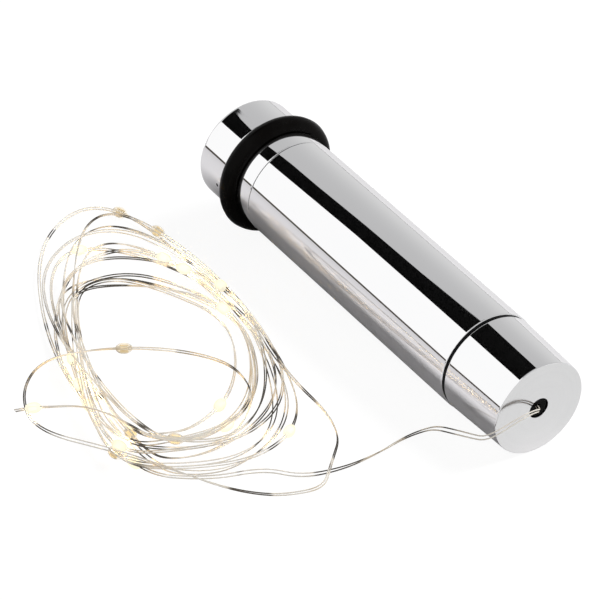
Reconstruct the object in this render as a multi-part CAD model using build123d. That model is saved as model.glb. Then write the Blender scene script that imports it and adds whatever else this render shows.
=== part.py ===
from build123d import *
import os
from math import asin, atan2, cos, degrees, hypot, pi, radians, sin, sqrt, tan

# Battery light for the neck of a bottle: a metal tube holding one cell, a screw plug with
# a rubber ring and a twist head at its rear, a driver board in its front cap, and a fine
# wire with twenty light points that comes out of the cap and lies coiled on the floor.
#
# Each piece is drawn along X with the seam at the tube's rear mouth at x = 0, the wire end
# at +X and the twist head at -X. The light lies on its rubber ring and on the tube's front
# rim, so everything rigid is tilted and lifted into that resting place by laid().
# All sizes are in millimetres.

# Tube
TUBE_DIAMETER = 18.0
TUBE_WALL = 1.1
TUBE_RIM_ROUND = 0.5
TUBE_MOUTH_BEVEL = 0.25

# Front cap
CAP_LENGTH = 13.25
CAP_STEP = 0.13
CAP_TAPER = 0.47
CAP_WALL = 1.0
CAP_FACE_THICKNESS = 1.6
CAP_BEVEL = 0.2
WIRE_HOLE_DIAMETER = 3.6

# Clearances
SEAM_GAP = 0.12
GLUE_CLEARANCE = 0.03
PUSH_CLEARANCE = 0.05
LOOSE_CLEARANCE = 0.2
TURNING_GAP = 0.2
CUT_OVERRUN = 1.0

# Cell
CELL_LENGTH = 50.2
CELL_CLEARANCE = 0.3
CELL_WRAP_THICKNESS = 0.15
CELL_WRAP_LIP = 1.3
CELL_BASE_INSET = 2.15
CELL_BASE_HEIGHT = 0.3
NUB_DIAMETER = 5.5
NUB_HEIGHT = 1.4
NUB_BEVEL = 0.3
NUB_BRIM_INSET = 2.35
NUB_BRIM_THICKNESS = 0.4
NUB_BRIM_DEPTH = 0.6
SLEEVE_WALL = 0.45
SLEEVE_SHORTFALL = 0.2

# Board holder
SKIRT_LENGTH = 5.0
SKIRT_WALL = 0.55
FLANGE_THICKNESS = 0.45
FLANGE_SINK = 0.25
HOLDER_FLOOR = 1.0
HOLDER_FRONT_WALL = 1.0
HOLDER_LIP = 2.6
NUB_HOLE_CLEARANCE = 0.5

# Driver board and what stands on it
BOARD_STANDOFF = 2.5
BOARD_THICKNESS = 1.0
BOARD_LEDGE = 0.9
CHIP_LENGTH = 2.9
CHIP_WIDTH = 1.6
CHIP_HEIGHT = 1.1
CHIP_LEG_REACH = 0.6
CHIP_LEG_WIDTH = 0.4
CHIP_LEG_HEIGHT = 0.35
CHIP_LEG_PITCH = 0.95
CHIP_LEGS_A_SIDE = 3
INDUCTOR_DIAMETER = 3.8
INDUCTOR_WAIST_DIAMETER = 2.9
INDUCTOR_HEIGHT = 2.4
INDUCTOR_RIM = 0.5
CAPACITOR_LENGTH = 2.0
CAPACITOR_WIDTH = 1.25
CAPACITOR_HEIGHT = 1.2
DIODE_LENGTH = 2.6
DIODE_WIDTH = 1.5
DIODE_HEIGHT = 1.0
CHIP_PLACE_SHARES = (-0.43, 0.365)
INDUCTOR_PLACE_SHARES = (0.476, 0.365)
CAPACITOR_PLACE_SHARES = ((-0.524, -0.254), (0.524, -0.254))
DIODE_PLACE_SHARES = (0.0, -0.667)

# Contacts at the front
LEAF_THICKNESS = 0.3
LEAF_WIDTH = 3.2
LEAF_INSET = 1.25
STRIP_THICKNESS = 0.25
STRIP_WIDTH = 2.0
STRIP_LENGTH = 4.4
STRIP_DROP = 1.8
STRIP_TAIL = 0.3
SLOT_CLEARANCE = 0.08

# Wire entry
GROMMET_FLANGE_DIAMETER = 5.6
GROMMET_FLANGE_THICKNESS = 0.6
GROMMET_RECESS = 0.4
GROMMET_BORE_DIAMETER = 1.1
STOP_DIAMETER = 2.4
STOP_LENGTH = 2.3
INNER_LEAD_DIAMETER = 0.4
INNER_LEAD_PAD_SPREAD = 0.9
INNER_LEAD_STOP_SPREAD = 0.35
INNER_LEAD_STRAIGHT_SHARE = 0.23

# Plug
SPIGOT_LENGTH = 5.5
SPRING_POCKET_DEPTH = 4.2
SPRING_POCKET_WALL = 1.25
COLLAR_LENGTH = 3.38
COLLAR_WALL = 0.85
COLLAR_BEVEL = 0.12
GROOVE_DEPTH = 1.65
PIVOT_DIAMETER = 6.0
PIVOT_LENGTH = 4.6
PEG_DIAMETER = 1.1
PEG_LENGTH = 1.6
PEG_INSET = 1.25

# Rubber ring
RING_THICKNESS = 3.6
RING_STAND = 0.2
RING_SIDE_GAP = 0.1

# Battery spring and rear contacts
PLATE_THICKNESS = 0.4
PLATE_CLEARANCE = 0.2
SPRING_WIRE = 0.6
SPRING_LENGTH = 5.0
SPRING_INSET = 1.0
SPRING_NARROW_RADIUS = 2.6
SPRING_TURNS = 4
SPRING_SIDES = 4
STUD_DIAMETER = 1.4
STUD_HEAD_DIAMETER = 1.6
STUD_HEAD_HEIGHT = 0.3
STUD_STAND = 0.1
STUD_CIRCLE_RADIUS = 4.1
LIVE_STUD_ANGLE = 180.0
GROUND_STUD_ANGLE = 270.0
TAB_THICKNESS = 0.3
TAB_WIDTH = 1.6
TAB_SETBACK = 2.6
SCREW_DIAMETER = 1.9
SCREW_DEPTH = 3.2
SCREW_HEAD_DIAMETER = 3.8
SCREW_HEAD_HEIGHT = 0.7
WASHER_DIAMETER = 8.6
WASHER_THICKNESS = 0.4

# Twist head
HEAD_STEP = 0.4
HEAD_LENGTH = 7.0
HEAD_WALL = 0.8
HEAD_BACK_WALL = 1.1
HEAD_EDGE_ROUND = 0.6
HEAD_TWIST = 90.0
INDEX_DIAMETER = 0.4
INDEX_DEPTH = 0.3
INDEX_SETBACK = 1.5
INDEX_ANGLE = 186.0
WIPER_WIDTH = 1.5
WIPER_THICKNESS = 0.3
WIPER_START_ANGLE = 168.0
WIPER_SWEEP = 122.0
STOP_SLOT_DEPTH = 1.9

# Wire with light points
WIRE_DIAMETER = 0.7
WIRE_SIDES = 5
LED_END_STUB = 3.2
LED_SHIFTS = (-16, -22, -25, -48, -44, -48, -22, -40, -45, -24, -17, -13, 1, 22, 8, 9, -2, -10, -17, 0)
BEAD_LENGTH = 2.9
BEAD_BARREL = 1.6
BEAD_DIAMETER = 1.9
BEAD_TIP_DIAMETER = 0.95
BEAD_SIDES = 8
LED_CHIP_LENGTH = 1.1
LED_CHIP_WIDTH = 0.8
LED_CHIP_HEIGHT = 0.35

# Coil on the floor: its middle, measured along X from the cap's face as all of the wire's
# places are, the way that its long direction points, and how far the
# turns reach to each side of the middle where the winding turns back, from the first turn
# at the outside, in and out again through the layers. The sideways places say how far the
# quarter points lie off the middle lines, for the widest and the narrowest turn.
COIL_MIDDLE = (-56.8, -37.0)
COIL_HEADING = -15.4
COIL_LAYERS = 4
TURNS_A_LAYER = 3
COIL_FIRST_HEIGHT = 1.0
LAYER_PITCH = 1.4
CLIMB_SHARE = 0.5
NEAR_REACH = (38.5, 28.0, 37.0, 27.0, 36.0)
LEFT_REACH = (17.4, 12.4, 16.9, 11.7, 16.4)
FAR_REACH = (46.5, 15.5, 36.5, 14.0, 31.0)
RIGHT_REACH = (20.0, 14.6, 19.4, 14.2, 18.8)
NEAR_SIDEWAYS = (2.2, -1.4)
LEFT_SIDEWAYS = (6.0, 9.4)
FAR_SIDEWAYS = (4.6, -4.3)
RIGHT_SIDEWAYS = (12.4, 4.7)
TIP_SHARE = 0.4

# Loose last turn: how far along and across the coil, which way the wire heads there, and
# its height. It sags off the pile on both sides and crosses over the open middle.
LOOSE_TURN = (
    (46.0, 12.0, -95.0, 3.4),
    (36.5, -9.8, -130.0, 3.8),
    (10.5, -24.0, -185.0, 3.4),
    (4.6, -16.0, -265.0, 6.6),
    (9.4, 3.2, -302.0, 6.6),
    (21.0, 10.2, -358.0, 6.6),
    (32.3, -2.5, -450.0, 6.6),
    (20.5, -14.6, -500.0, 6.6),
)

# Free stretch from the stop inside the cap to the coil, after its straight way out of the
# cap: it springs up from the hole, bends down past the cap's rim and crosses the floor.
LEAD_ROUTE = (
    (2.5, -1.0, 9.4),
    (3.3, -3.2, 10.8),
    (2.8, -6.0, 10.3),
    (2.1, -8.3, 9.1),
    (0.6, -10.1, 7.4),
    (-2.8, -10.9, 5.4),
    (-7.0, -10.9, 3.5),
    (-10.9, -11.2, 2.0),
    (-13.7, -12.7, 0.9),
    (-13.9, -15.8, 0.6),
    (-13.0, -21.5, 0.5),
    (-12.9, -28.2, 0.5),
    (-14.8, -34.8, 0.5),
)

# Free end, out of the coil and down over its left side.
TAIL_ROUTE = (
    (-43.7, -58.6, 6.3),
    (-46.2, -61.2, 5.6),
    (-48.8, -63.3, 4.7),
    (-50.7, -65.4, 3.7),
)
CORD_BEND_SHARE = 0.45
LEAD_STAND = 0.9
LEAD_APPROACH = 4.5
GAP_STEP = 0.8
GAP_SKIP_SHARE = 0.02

# Radii that several pieces share
tube_radius = TUBE_DIAMETER / 2
bore_radius = tube_radius - TUBE_WALL
cap_rear_radius = tube_radius - CAP_STEP
cap_front_radius = cap_rear_radius - CAP_TAPER
cap_bore_radius = cap_front_radius - CAP_WALL
cell_radius = bore_radius - PUSH_CLEARANCE - SLEEVE_WALL - CELL_CLEARANCE
can_radius = cell_radius - CELL_WRAP_THICKNESS
brim_radius = can_radius - NUB_BRIM_INSET
skirt_radius = bore_radius - PUSH_CLEARANCE
skirt_bore_radius = skirt_radius - SKIRT_WALL
pocket_radius = skirt_radius - SPRING_POCKET_WALL
holder_radius = cap_bore_radius - PUSH_CLEARANCE
holder_bore_radius = holder_radius - HOLDER_FRONT_WALL
ledge_radius = holder_bore_radius - BOARD_LEDGE
board_radius = holder_bore_radius - PUSH_CLEARANCE
ring_radius = RING_THICKNESS / 2
ring_mean_radius = tube_radius + RING_STAND
groove_radius = tube_radius - GROOVE_DEPTH
peg_circle_radius = groove_radius - PEG_INSET
collar_seat_radius = tube_radius - COLLAR_WALL - GLUE_CLEARANCE
pivot_radius = PIVOT_DIAMETER / 2
stud_radius = STUD_DIAMETER / 2
head_radius = tube_radius + HEAD_STEP
head_bore_radius = head_radius - HEAD_WALL
wire_radius = WIRE_DIAMETER / 2

# Places along the axis, from the seam
pocket_floor = SPIGOT_LENGTH - SPRING_POCKET_DEPTH
plate_front = pocket_floor + PLATE_THICKNESS
cell_back = plate_front + SPRING_LENGTH
cell_front = cell_back + CELL_LENGTH
cell_shoulder = cell_front - NUB_HEIGHT
can_front = cell_shoulder - NUB_BRIM_DEPTH
tube_length = cell_shoulder
skirt_back = tube_length - SKIRT_LENGTH
cap_back = tube_length + FLANGE_THICKNESS
cap_front = cap_back + CAP_LENGTH
cap_inside = cap_front - CAP_FACE_THICKNESS
floor_front = cell_front
floor_back = floor_front - HOLDER_FLOOR
board_back = floor_front + BOARD_STANDOFF
board_front = board_back + BOARD_THICKNESS
holder_front = board_front + HOLDER_LIP
grommet_back = cap_inside - GROMMET_FLANGE_THICKNESS
stop_back = grommet_back - STOP_LENGTH
collar_front = -SEAM_GAP
collar_back = collar_front - COLLAR_LENGTH
ring_middle = collar_back - RING_SIDE_GAP - ring_radius
head_front = ring_middle - ring_radius - RING_SIDE_GAP - TURNING_GAP
core_back = head_front + TURNING_GAP
pivot_back = core_back - PIVOT_LENGTH
head_back = head_front - HEAD_LENGTH
head_inside = head_back + HEAD_BACK_WALL
web_back = pivot_back + PUSH_CLEARANCE * 2
washer_back = pivot_back - WASHER_THICKNESS

# Rest on the floor: the ring's underside and the rounded rim of the tube both touch z = 0
rim_middle = tube_length - TUBE_RIM_ROUND
rim_run = rim_middle - ring_middle
rim_rise = ring_mean_radius - (tube_radius - TUBE_RIM_ROUND)
tilt = atan2(rim_rise, rim_run) + asin((ring_radius - TUBE_RIM_ROUND) / hypot(rim_run, rim_rise))
lift = rim_middle * sin(tilt) + (tube_radius - TUBE_RIM_ROUND) * cos(tilt) + TUBE_RIM_ROUND
front_reach = cap_front * cos(tilt) + cap_front_radius * sin(tilt)
back_reach = head_back * cos(tilt) - (head_radius - HEAD_EDGE_ROUND) * sin(tilt)
slide_to_middle = -(front_reach + back_reach) / 2
face_x = slide_to_middle + cap_front * cos(tilt)
RESTING_PLACE = Pos(slide_to_middle, 0, lift) * Rot(0, degrees(tilt), 0)
ON_BASE = (Align.CENTER, Align.CENTER, Align.MIN)


def laid(piece):
    """The piece at its resting place on the floor."""
    return RESTING_PLACE * piece


def turned(*outline):
    """A solid turned about the X axis from (x, radius) points."""
    points = [(x, radius, 0) for x, radius in outline]
    return revolve(make_face(Polyline(*points, close=True)), Axis.X)


def rod(start, end, radius, y=0, z=0):
    """A round rod along X."""
    return Pos(start, y, z) * Rot(0, 90, 0) * Cylinder(radius, end - start, align=ON_BASE)


def block(start, end, width, low, high, y=0):
    """A box along X, centred across on y, between two heights."""
    size = (end - start, width, high - low)
    return Pos((start + end) / 2, y, (low + high) / 2) * Box(*size)


def on_circle(radius, angle):
    """The y and z of a place round the axis."""
    return radius * cos(radians(angle)), radius * sin(radians(angle))


def rims(piece, x, radius):
    """The round edges of a piece at one station and one radius."""
    near = GLUE_CLEARANCE / 2
    return [
        edge
        for edge in piece.edges().filter_by(GeomType.CIRCLE)
        if abs(edge.arc_center.X - x) < near and abs(edge.radius - radius) < near
    ]


# Tube, cap and cell

def battery_tube():
    tube = turned((0, bore_radius), (0, tube_radius), (tube_length, tube_radius), (tube_length, bore_radius))
    tube = fillet(rims(tube, tube_length, tube_radius), TUBE_RIM_ROUND)
    return chamfer(rims(tube, 0, tube_radius), TUBE_MOUTH_BEVEL)


def front_cap():
    hole = WIRE_HOLE_DIAMETER / 2
    cap = turned(
        (cap_back, cap_bore_radius),
        (cap_back, cap_rear_radius),
        (cap_front, cap_front_radius),
        (cap_front, hole),
        (cap_inside, hole),
        (cap_inside, cap_bore_radius),
    )
    return chamfer(rims(cap, cap_front, cap_front_radius), CAP_BEVEL)


def insulating_sleeve():
    outer = bore_radius - PUSH_CLEARANCE
    return turned(
        (cell_back, outer - SLEEVE_WALL),
        (cell_back, outer),
        (skirt_back - SLEEVE_SHORTFALL, outer),
        (skirt_back - SLEEVE_SHORTFALL, outer - SLEEVE_WALL),
    )


def cell_can():
    base = can_radius - CELL_BASE_INSET
    base_step = cell_back + CELL_BASE_HEIGHT
    return turned((cell_back, 0), (cell_back, base), (base_step, base), (base_step, can_radius),
                  (can_front, can_radius), (can_front, 0))


def cell_wrap():
    back = cell_back + CELL_BASE_HEIGHT
    lip = cell_radius - CELL_WRAP_LIP
    return turned(
        (back - CELL_WRAP_THICKNESS, lip),
        (back - CELL_WRAP_THICKNESS, cell_radius),
        (cell_shoulder, cell_radius),
        (cell_shoulder, lip),
        (cell_shoulder - CELL_WRAP_THICKNESS, lip),
        (cell_shoulder - CELL_WRAP_THICKNESS, can_radius),
        (back, can_radius),
        (back, lip),
    )


def cell_nub():
    nub = NUB_DIAMETER / 2
    brim_front = can_front + NUB_BRIM_THICKNESS
    hat = turned((can_front, 0), (can_front, brim_radius), (brim_front, brim_radius), (brim_front, nub),
                 (cell_front, nub), (cell_front, 0))
    return chamfer(rims(hat, cell_front, nub), NUB_BEVEL)


def cell_seal():
    inner = brim_radius + PUSH_CLEARANCE
    outer = can_radius - PUSH_CLEARANCE
    front = cell_shoulder - CELL_WRAP_THICKNESS
    return turned((can_front, inner), (can_front, outer), (front, outer), (front, inner))


# Board holder, board and front contacts

strip_top = bore_radius - 2 * PUSH_CLEARANCE
strip_tail_top = strip_top - STRIP_DROP
riser_back = (cell_shoulder + cap_back - STRIP_THICKNESS) / 2


def strip_legs(grow):
    """The bent ground strip, or with grow the slot that it lies in."""
    outer = block(skirt_back - grow, riser_back + STRIP_THICKNESS + grow, STRIP_WIDTH + 2 * grow,
                  strip_top - STRIP_THICKNESS - grow, strip_top + grow)
    riser = block(riser_back - grow, riser_back + STRIP_THICKNESS + grow, STRIP_WIDTH + 2 * grow,
                  strip_tail_top - STRIP_THICKNESS - grow, strip_top + grow)
    tail = block(riser_back - grow, board_front + STRIP_TAIL + grow, STRIP_WIDTH + 2 * grow,
                 strip_tail_top - STRIP_THICKNESS - grow, strip_tail_top + grow)
    return outer + riser + tail


def board_holder():
    flange = tube_radius - FLANGE_SINK
    nub_hole = NUB_DIAMETER / 2 + NUB_HOLE_CLEARANCE
    holder = turned(
        (skirt_back, skirt_bore_radius),
        (skirt_back, skirt_radius),
        (tube_length, skirt_radius),
        (tube_length, flange),
        (cap_back, flange),
        (cap_back, holder_radius),
        (holder_front, holder_radius),
        (holder_front, holder_bore_radius),
        (board_back, holder_bore_radius),
        (board_back, ledge_radius),
        (floor_front, ledge_radius),
        (floor_front, nub_hole),
        (floor_back, nub_hole),
        (floor_back, skirt_bore_radius),
    )
    return holder - strip_legs(SLOT_CLEARANCE)


def ground_strip():
    return strip_legs(0)


def positive_contact():
    half = ledge_radius - LEAF_INSET
    leaf = block(floor_front, floor_front + LEAF_THICKNESS, LEAF_WIDTH, -half, half)
    tab = block(floor_front, board_back, LEAF_WIDTH, -half, LEAF_THICKNESS - half)
    return leaf + tab


def driver_board():
    board = turned((board_back, 0), (board_back, board_radius), (board_front, board_radius), (board_front, 0))
    return board - strip_legs(SLOT_CLEARANCE)


def on_board(piece, place_shares):
    """Stands a piece, drawn upright on its base, on the board's front face."""
    y_share, z_share = place_shares
    return Pos(board_front, board_radius * y_share, board_radius * z_share) * Rot(0, 90, 0) * piece


def driver_chip():
    body = Box(CHIP_LENGTH, CHIP_WIDTH, CHIP_HEIGHT, align=ON_BASE)
    reach = CHIP_WIDTH + 2 * CHIP_LEG_REACH
    for number in range(CHIP_LEGS_A_SIDE):
        along = (number - (CHIP_LEGS_A_SIDE - 1) / 2) * CHIP_LEG_PITCH
        body += Pos(along, 0, 0) * Box(CHIP_LEG_WIDTH, reach, CHIP_LEG_HEIGHT, align=ON_BASE)
    return on_board(body, CHIP_PLACE_SHARES)


def inductor():
    rim = INDUCTOR_DIAMETER / 2
    waist = INDUCTOR_WAIST_DIAMETER / 2
    neck = INDUCTOR_HEIGHT - 2 * INDUCTOR_RIM
    drum = Cylinder(rim, INDUCTOR_RIM, align=ON_BASE)
    drum += Pos(0, 0, INDUCTOR_RIM) * Cylinder(waist, neck, align=ON_BASE)
    drum += Pos(0, 0, INDUCTOR_RIM + neck) * Cylinder(rim, INDUCTOR_RIM, align=ON_BASE)
    return on_board(drum, INDUCTOR_PLACE_SHARES)


def capacitors():
    chip = Box(CAPACITOR_LENGTH, CAPACITOR_WIDTH, CAPACITOR_HEIGHT, align=ON_BASE)
    return Compound(children=[on_board(chip, shares) for shares in CAPACITOR_PLACE_SHARES])


def diode():
    return on_board(Box(DIODE_WIDTH, DIODE_LENGTH, DIODE_HEIGHT, align=ON_BASE), DIODE_PLACE_SHARES)


# Wire entry in the cap's face

def wire_grommet():
    bore = GROMMET_BORE_DIAMETER / 2
    barrel = WIRE_HOLE_DIAMETER / 2 - GLUE_CLEARANCE
    flange = GROMMET_FLANGE_DIAMETER / 2
    front = cap_front - GROMMET_RECESS
    return turned((grommet_back, bore), (grommet_back, flange), (cap_inside, flange), (cap_inside, barrel),
                  (front, barrel), (front, bore))


def wire_stop():
    return rod(stop_back, grommet_back, STOP_DIAMETER / 2)


def inner_leads():
    leads = []
    straight = (stop_back - board_front) * INNER_LEAD_STRAIGHT_SHARE
    for side in (-1, 1):
        path = FilletPolyline(
            (board_front, side * INNER_LEAD_PAD_SPREAD, 0),
            (board_front + straight, side * INNER_LEAD_PAD_SPREAD, 0),
            (stop_back - straight, side * INNER_LEAD_STOP_SPREAD, 0),
            (stop_back, side * INNER_LEAD_STOP_SPREAD, 0),
            radius=straight,
        )
        start = Plane(origin=path @ 0, z_dir=path % 0)
        leads.append(sweep(start * RegularPolygon(INNER_LEAD_DIAMETER / 2, WIRE_SIDES), path=path))
    return Compound(children=leads)


# Plug

def stud_place(angle):
    return on_circle(STUD_CIRCLE_RADIUS, angle)


tab_front = -TAB_SETBACK
tab_back = tab_front - TAB_THICKNESS


def tab_bar(grow):
    """The ground tab under the collar, or with grow the slot that it lies in."""
    inner = STUD_CIRCLE_RADIUS - TAB_WIDTH / 2 - grow
    outer = collar_seat_radius - PUSH_CLEARANCE + grow
    return block(tab_back, tab_front + grow, TAB_WIDTH + 2 * grow, -outer, -inner)


def plug_core():
    core = turned(
        (pocket_floor, 0),
        (pocket_floor, pocket_radius),
        (SPIGOT_LENGTH, pocket_radius),
        (SPIGOT_LENGTH, skirt_radius),
        (collar_front, skirt_radius),
        (collar_front, collar_seat_radius),
        (collar_back, collar_seat_radius),
        (collar_back, groove_radius),
        (core_back, groove_radius),
        (core_back, pivot_radius),
        (pivot_back, pivot_radius),
        (pivot_back, 0),
    )
    y, z = on_circle(peg_circle_radius, HEAD_TWIST)
    core += rod(core_back - PEG_LENGTH, core_back, PEG_DIAMETER / 2, y, z)
    hole = stud_radius + GLUE_CLEARANCE
    counterbore = STUD_HEAD_DIAMETER / 2 + GLUE_CLEARANCE
    ends = ((LIVE_STUD_ANGLE, pocket_floor + CUT_OVERRUN), (GROUND_STUD_ANGLE, tab_front))
    for angle, end in ends:
        y, z = stud_place(angle)
        core -= rod(core_back - CUT_OVERRUN, end, hole, y, z)
        core -= rod(core_back - CUT_OVERRUN, core_back + STUD_HEAD_HEIGHT - STUD_STAND, counterbore, y, z)
    core -= tab_bar(SLOT_CLEARANCE)
    return core - rod(pivot_back - CUT_OVERRUN, pivot_back + SCREW_DEPTH + PUSH_CLEARANCE,
                      SCREW_DIAMETER / 2 + GLUE_CLEARANCE)


def neck_collar():
    inner = tube_radius - COLLAR_WALL
    collar = turned((collar_back, inner), (collar_back, tube_radius), (collar_front, tube_radius),
                    (collar_front, inner))
    outer_rims = rims(collar, collar_back, tube_radius) + rims(collar, collar_front, tube_radius)
    return chamfer(outer_rims, COLLAR_BEVEL)


def sealing_ring():
    return Pos(ring_middle, 0, 0) * Rot(0, 90, 0) * Torus(ring_mean_radius, ring_radius)


def negative_contact():
    plate = rod(pocket_floor, plate_front, pocket_radius - PLATE_CLEARANCE)
    y, z = stud_place(LIVE_STUD_ANGLE)
    hole = stud_radius + GLUE_CLEARANCE
    return plate - rod(pocket_floor - CUT_OVERRUN, plate_front + CUT_OVERRUN, hole, y, z)


def stud_head(y, z):
    start = core_back - STUD_STAND
    return rod(start, start + STUD_HEAD_HEIGHT, STUD_HEAD_DIAMETER / 2, y, z)


def live_stud():
    y, z = stud_place(LIVE_STUD_ANGLE)
    shaft = rod(core_back, plate_front, stud_radius, y, z)
    front = rod(plate_front, plate_front + STUD_HEAD_HEIGHT, STUD_HEAD_DIAMETER / 2, y, z)
    return shaft + front + stud_head(y, z)


def ground_stud():
    y, z = stud_place(GROUND_STUD_ANGLE)
    return rod(core_back, tab_back, stud_radius, y, z) + stud_head(y, z)


def ground_tab():
    return tab_bar(0)


def pivot_screw():
    shaft = rod(washer_back, pivot_back + SCREW_DEPTH, SCREW_DIAMETER / 2)
    return shaft + rod(washer_back - SCREW_HEAD_HEIGHT, washer_back, SCREW_HEAD_DIAMETER / 2)


def pivot_washer():
    inner = SCREW_DIAMETER / 2 + GLUE_CLEARANCE
    outer = WASHER_DIAMETER / 2
    return turned((washer_back, inner), (washer_back, outer), (pivot_back, outer), (pivot_back, inner))


# Twist head

def head_shell():
    shell = turned(
        (head_front, head_bore_radius),
        (head_front, head_radius),
        (head_back, head_radius),
        (head_back, 0),
        (head_inside, 0),
        (head_inside, head_bore_radius),
    )
    shell = fillet(rims(shell, head_back, head_radius), HEAD_EDGE_ROUND)
    drill = Cylinder(INDEX_DIAMETER / 2, INDEX_DEPTH + CUT_OVERRUN, align=ON_BASE)
    mark = Pos(head_front - INDEX_SETBACK, 0, 0) * Rot(INDEX_ANGLE - 90, 0, 0)
    return shell - mark * Pos(0, 0, head_radius - INDEX_DEPTH) * drill


def sector(start, end, inner, outer, first_angle, sweep_angle):
    """Part of a ring along X between two angles."""
    points = [(start, inner, 0), (end, inner, 0), (end, outer, 0), (start, outer, 0)]
    face = make_face(Polyline(*points, close=True))
    return Rot(first_angle, 0, 0) * revolve(face, Axis.X, sweep_angle)


def head_core():
    outer = head_bore_radius - GLUE_CLEARANCE
    bore = pivot_radius + PUSH_CLEARANCE
    recess = WASHER_DIAMETER / 2 + LOOSE_CLEARANCE
    core = turned((head_front, bore), (head_front, outer), (head_inside, outer), (head_inside, recess),
                  (web_back, recess), (web_back, bore))
    slot_half = PEG_DIAMETER / 2 + PUSH_CLEARANCE * 2
    slot_floor = head_front - STOP_SLOT_DEPTH
    slot_top = head_front + CUT_OVERRUN
    core -= sector(slot_floor, slot_top, peg_circle_radius - slot_half, peg_circle_radius + slot_half,
                   0, HEAD_TWIST)
    for angle in (0, HEAD_TWIST):
        y, z = on_circle(peg_circle_radius, angle)
        core -= rod(slot_floor, slot_top, slot_half, y, z)
    return core - wiper_ring(head_front + CUT_OVERRUN)


def wiper_ring(front):
    """The wiper's flat ring part, up to a front plane."""
    half = WIPER_WIDTH / 2
    return sector(head_front - WIPER_THICKNESS, front, STUD_CIRCLE_RADIUS - half, STUD_CIRCLE_RADIUS + half,
                  WIPER_START_ANGLE, WIPER_SWEEP)


def wiper_contact():
    return wiper_ring(head_front)


# Wound wire

def two_arcs(start, start_way, end, end_way, share):
    """Two arcs that leave start and reach end along the given ways, and meet smoothly.

    share is the second arc's control length as a share of the first's.
    """
    chord = end - start
    pull = 2 * chord.dot(start_way + end_way * share)
    bend = 2 * share * (1 - start_way.dot(end_way))
    spread = chord.dot(chord)
    reach = 2 * spread / (pull + sqrt(pull * pull + 4 * bend * spread))
    first_corner = start + start_way * reach
    second_corner = end - end_way * (reach * share)
    meeting_way = (second_corner - first_corner).normalized()
    meeting = first_corner + meeting_way * reach
    return [
        Edge.make_tangent_arc(start, start_way, meeting),
        Edge.make_tangent_arc(meeting, meeting_way, end),
    ]


def wound_tube(arcs, start_way, end_way, radius, sides, straight):
    """A faceted wire along the arcs, with a short straight at each end."""
    start = arcs[0].position_at(0)
    end = arcs[-1].position_at(1)
    first = Edge.make_line(start - start_way * straight, start)
    last = Edge.make_line(end, end + end_way * straight)
    path = Wire([first, *arcs, last])
    section = Plane(origin=start - start_way * straight, z_dir=start_way) * RegularPolygon(radius, sides)
    return path, sweep(section, path=path)


def way(angle, heading=0):
    """A level unit vector at an angle, in degrees."""
    return Vector(cos(radians(angle + heading)), sin(radians(angle + heading)), 0)


def least_gap(path, thickness):
    """The least clear distance between stretches of a path that are apart along it."""
    count = int(path.length / GAP_STEP)
    points = [path.position_at(number / count) for number in range(count + 1)]
    skip = int(count * GAP_SKIP_SHARE)
    cells = {}
    for number, point in enumerate(points):
        key = (int(point.X // (4 * thickness)), int(point.Y // (4 * thickness)))
        cells.setdefault(key, []).append(number)
    best = path.length
    for (column, row), numbers in cells.items():
        around = [
            other
            for across in (-1, 0, 1)
            for along in (-1, 0, 1)
            for other in cells.get((column + across, row + along), [])
        ]
        for number in numbers:
            for other in around:
                if other - number > skip:
                    best = min(best, (points[number] - points[other]).length)
    return best - thickness


def battery_spring():
    """A cone of steady turns between two flat ends, drawn along Z and laid along X."""
    quarters = SPRING_TURNS * 4
    wire = SPRING_WIRE / 2
    rise = SPRING_LENGTH - SPRING_WIRE
    wide = pocket_radius - SPRING_INSET

    def place(number):
        share = number / quarters
        radius = wide + (SPRING_NARROW_RADIUS - wide) * share
        return way(number * 90) * radius + Vector(0, 0, wire + rise * share)

    arcs = []
    for number in range(quarters):
        arcs += two_arcs(place(number), way(number * 90 + 90), place(number + 1), way(number * 90 + 180), 1)
    path, spring = wound_tube(arcs, way(90), way(90), wire, SPRING_SIDES, SPRING_WIRE)
    return Pos(plate_front, 0, 0) * Rot(0, 90, 0) * spring


def between(table, turns):
    """A reach at a moment of the winding, steady between the places where it turns back."""
    layer = min(int(turns // TURNS_A_LAYER), COIL_LAYERS - 1)
    share = turns / TURNS_A_LAYER - layer
    return table[layer] + (table[layer + 1] - table[layer]) * share


def coil_height(turns):
    climbed = 0
    for layer in range(1, COIL_LAYERS):
        start = TURNS_A_LAYER * layer - CLIMB_SHARE / 2
        climbed += min(max((turns - start) / CLIMB_SHARE, 0), 1)
    return COIL_FIRST_HEIGHT + LAYER_PITCH * climbed


def on_floor(along, across, height):
    """A place given along and across the coil, from its middle."""
    x, y = COIL_MIDDLE
    middle = Vector(face_x + x, y, height)
    return middle + way(COIL_HEADING) * along + way(COIL_HEADING + 90) * across


def from_face(route):
    """A hand-chosen route, whose X is measured from the cap's face."""
    return [Vector(face_x + x, y, z) for x, y, z in route]


def lean(table, reach, outer_place, inner_place):
    """How far a quarter point lies sideways: it moves with the reach from inner to outer."""
    return inner_place + (outer_place - inner_place) * (reach - table[1]) / (table[0] - table[1])


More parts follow.
